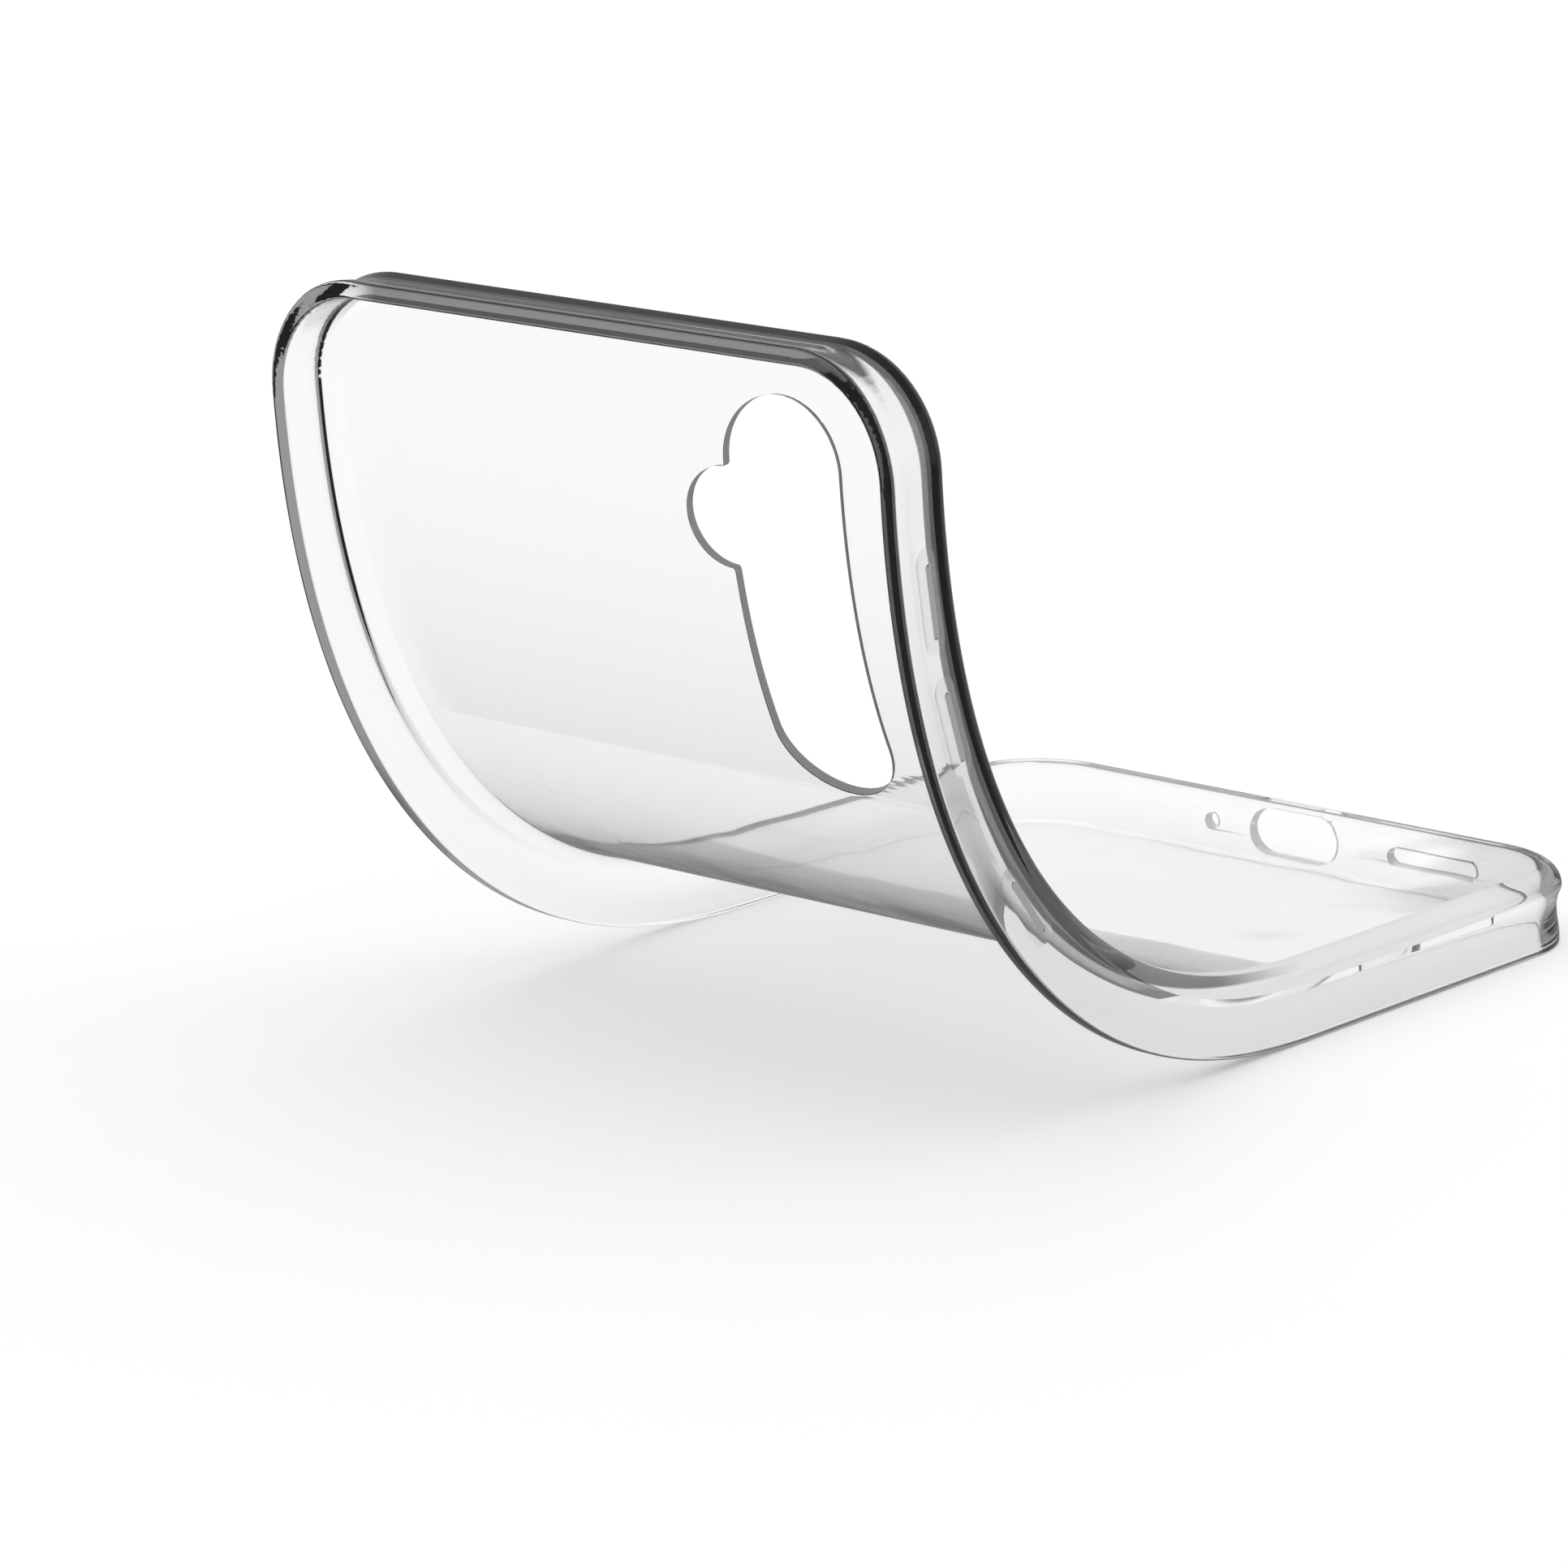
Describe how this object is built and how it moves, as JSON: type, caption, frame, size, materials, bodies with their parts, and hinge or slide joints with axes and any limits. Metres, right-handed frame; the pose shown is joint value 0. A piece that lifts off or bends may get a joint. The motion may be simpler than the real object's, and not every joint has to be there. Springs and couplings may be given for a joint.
{
  "type": "phone case",
  "caption": "Clear flexible phone case, half peeled off its phone: a thin back with a wall all round, a camera opening and key covers.",
  "frame": {"origin": "on the seat, the inside of the back that the phone lies against, at the middle of the foot tray", "axes": "+Z out through the back, +X towards the foot end, the keys are on the -Y side"},
  "size_m": [0.1265, 0.081, 0.0812],
  "materials": {
    "clear_tpu": "clear gloss"
  },
  "bodies": {
    "root": {"foot_tray": "clear_tpu"},
    "strip_01": {"flex_strip_01": "clear_tpu"},
    "strip_02": {"flex_strip_02": "clear_tpu"},
    "strip_03": {"flex_strip_03": "clear_tpu"},
    "strip_04": {"flex_strip_04": "clear_tpu"},
    "strip_05": {"flex_strip_05": "clear_tpu"},
    "strip_06": {"flex_strip_06": "clear_tpu"},
    "strip_07": {"flex_strip_07": "clear_tpu"},
    "strip_08": {"flex_strip_08": "clear_tpu"},
    "strip_09": {"flex_strip_09": "clear_tpu"},
    "strip_10": {"flex_strip_10": "clear_tpu"},
    "strip_11": {"flex_strip_11": "clear_tpu"},
    "strip_12": {"flex_strip_12_far_side": "clear_tpu", "flex_strip_12_keys_side": "clear_tpu"},
    "strip_13": {"flex_strip_13_far_side": "clear_tpu", "flex_strip_13_keys_side": "clear_tpu"},
    "strip_14": {"flex_strip_14_far_side": "clear_tpu", "flex_strip_14_keys_side": "clear_tpu"},
    "strip_15": {"flex_strip_15_far_side": "clear_tpu", "flex_strip_15_keys_side": "clear_tpu"},
    "strip_16": {"flex_strip_16_far_side": "clear_tpu", "flex_strip_16_keys_side": "clear_tpu"},
    "strip_17": {"flex_strip_17_far_side": "clear_tpu", "flex_strip_17_keys_side": "clear_tpu"},
    "head": {"head_end": "clear_tpu"},
    "power_key": {"power_key_cover": "clear_tpu"},
    "volume_down_key": {"volume_down_cover": "clear_tpu"},
    "volume_up_key": {"volume_up_cover": "clear_tpu"}
  },
  "joints": [
    {"name": "peel", "type": "hinge", "parent": "strip_07", "child": "strip_08", "pos_m": [-0.06339, 0, 0.01103], "axis": [0, 1, 0], "range_deg": [-5.98, 1.79]},
    {"name": "bend_01", "type": "hinge", "parent": "root", "child": "strip_01", "pos_m": [-0.027, 0, 0.0005], "axis": [0, 1, 0], "range_deg": [-2.19, 0.66]},
    {"name": "bend_02", "type": "hinge", "parent": "strip_01", "child": "strip_02", "pos_m": [-0.0325, 0, 0.00071], "axis": [0, 1, 0], "range_deg": [-3.49, 1.05]},
    {"name": "bend_03", "type": "hinge", "parent": "strip_02", "child": "strip_03", "pos_m": [-0.03797, 0, 0.00125], "axis": [0, 1, 0], "range_deg": [-4.44, 1.34]},
    {"name": "bend_04", "type": "hinge", "parent": "strip_03", "child": "strip_04", "pos_m": [-0.04338, 0, 0.00221], "axis": [0, 1, 0], "range_deg": [-5.11, 1.54]},
    {"name": "bend_05", "type": "hinge", "parent": "strip_04", "child": "strip_05", "pos_m": [-0.04869, 0, 0.00365], "axis": [0, 1, 0], "range_deg": [-5.57, 1.68]},
    {"name": "bend_06", "type": "hinge", "parent": "strip_05", "child": "strip_06", "pos_m": [-0.05384, 0, 0.0056], "axis": [0, 1, 0], "range_deg": [-5.85, 1.76]},
    {"name": "bend_07", "type": "hinge", "parent": "strip_06", "child": "strip_07", "pos_m": [-0.05875, 0, 0.00807], "axis": [0, 1, 0], "range_deg": [-5.98, 1.8]},
    {"name": "bend_09", "type": "hinge", "parent": "strip_08", "child": "strip_09", "pos_m": [-0.06769, 0, 0.01445], "axis": [0, 1, 0], "range_deg": [-5.9, 1.78]},
    {"name": "bend_10", "type": "hinge", "parent": "strip_09", "child": "strip_10", "pos_m": [-0.07162, 0, 0.0183], "axis": [0, 1, 0], "range_deg": [-5.72, 1.72]},
    {"name": "bend_11", "type": "hinge", "parent": "strip_10", "child": "strip_11", "pos_m": [-0.07514, 0, 0.02253], "axis": [0, 1, 0], "range_deg": [-5.48, 1.65]},
    {"name": "bend_12", "type": "hinge", "parent": "strip_11", "child": "strip_12", "pos_m": [-0.07825, 0, 0.02706], "axis": [0, 1, 0], "range_deg": [-5.18, 1.56]},
    {"name": "bend_13", "type": "hinge", "parent": "strip_12", "child": "strip_13", "pos_m": [-0.08093, 0, 0.03186], "axis": [0, 1, 0], "range_deg": [-4.86, 1.46]},
    {"name": "bend_14", "type": "hinge", "parent": "strip_13", "child": "strip_14", "pos_m": [-0.0832, 0, 0.03688], "axis": [0, 1, 0], "range_deg": [-4.51, 1.36]},
    {"name": "bend_15", "type": "hinge", "parent": "strip_14", "child": "strip_15", "pos_m": [-0.08507, 0, 0.04205], "axis": [0, 1, 0], "range_deg": [-4.15, 1.25]},
    {"name": "bend_16", "type": "hinge", "parent": "strip_15", "child": "strip_16", "pos_m": [-0.08656, 0, 0.04734], "axis": [0, 1, 0], "range_deg": [-3.79, 1.14]},
    {"name": "bend_17", "type": "hinge", "parent": "strip_16", "child": "strip_17", "pos_m": [-0.0877, 0, 0.05272], "axis": [0, 1, 0], "range_deg": [-3.43, 1.04]},
    {"name": "bend_18", "type": "hinge", "parent": "strip_17", "child": "head", "pos_m": [-0.08852, 0, 0.05816], "axis": [0, 1, 0], "range_deg": [-5.57, 1.68]},
    {"name": "power_key_press", "type": "slide", "parent": "strip_10", "child": "power_key", "axis": [0, 1, 0], "range_m": [0, 0.0003], "stiffness_N_per_m": 300},
    {"name": "volume_down_key_press", "type": "slide", "parent": "strip_14", "child": "volume_down_key", "axis": [0, 1, 0], "range_m": [0, 0.0003], "stiffness_N_per_m": 300},
    {"name": "volume_up_key_press", "type": "slide", "parent": "strip_16", "child": "volume_up_key", "axis": [0, 1, 0], "range_m": [0, 0.0003], "stiffness_N_per_m": 300}
  ],
  "couplings": [
    {"joint": "bend_01", "follows": "peel", "ratio": 0.36449},
    {"joint": "bend_02", "follows": "peel", "ratio": 0.58096},
    {"joint": "bend_03", "follows": "peel", "ratio": 0.74064},
    {"joint": "bend_04", "follows": "peel", "ratio": 0.85322},
    {"joint": "bend_05", "follows": "peel", "ratio": 0.92972},
    {"joint": "bend_06", "follows": "peel", "ratio": 0.9766},
    {"joint": "bend_07", "follows": "peel", "ratio": 0.99867},
    {"joint": "bend_09", "follows": "peel", "ratio": 0.98418},
    {"joint": "bend_10", "follows": "peel", "ratio": 0.95449},
    {"joint": "bend_11", "follows": "peel", "ratio": 0.91391},
    {"joint": "bend_12", "follows": "peel", "ratio": 0.86512},
    {"joint": "bend_13", "follows": "peel", "ratio": 0.81053},
    {"joint": "bend_14", "follows": "peel", "ratio": 0.75222},
    {"joint": "bend_15", "follows": "peel", "ratio": 0.69202},
    {"joint": "bend_16", "follows": "peel", "ratio": 0.63145},
    {"joint": "bend_17", "follows": "peel", "ratio": 0.57176},
    {"joint": "bend_18", "follows": "peel", "ratio": 0.92926}
  ]
}
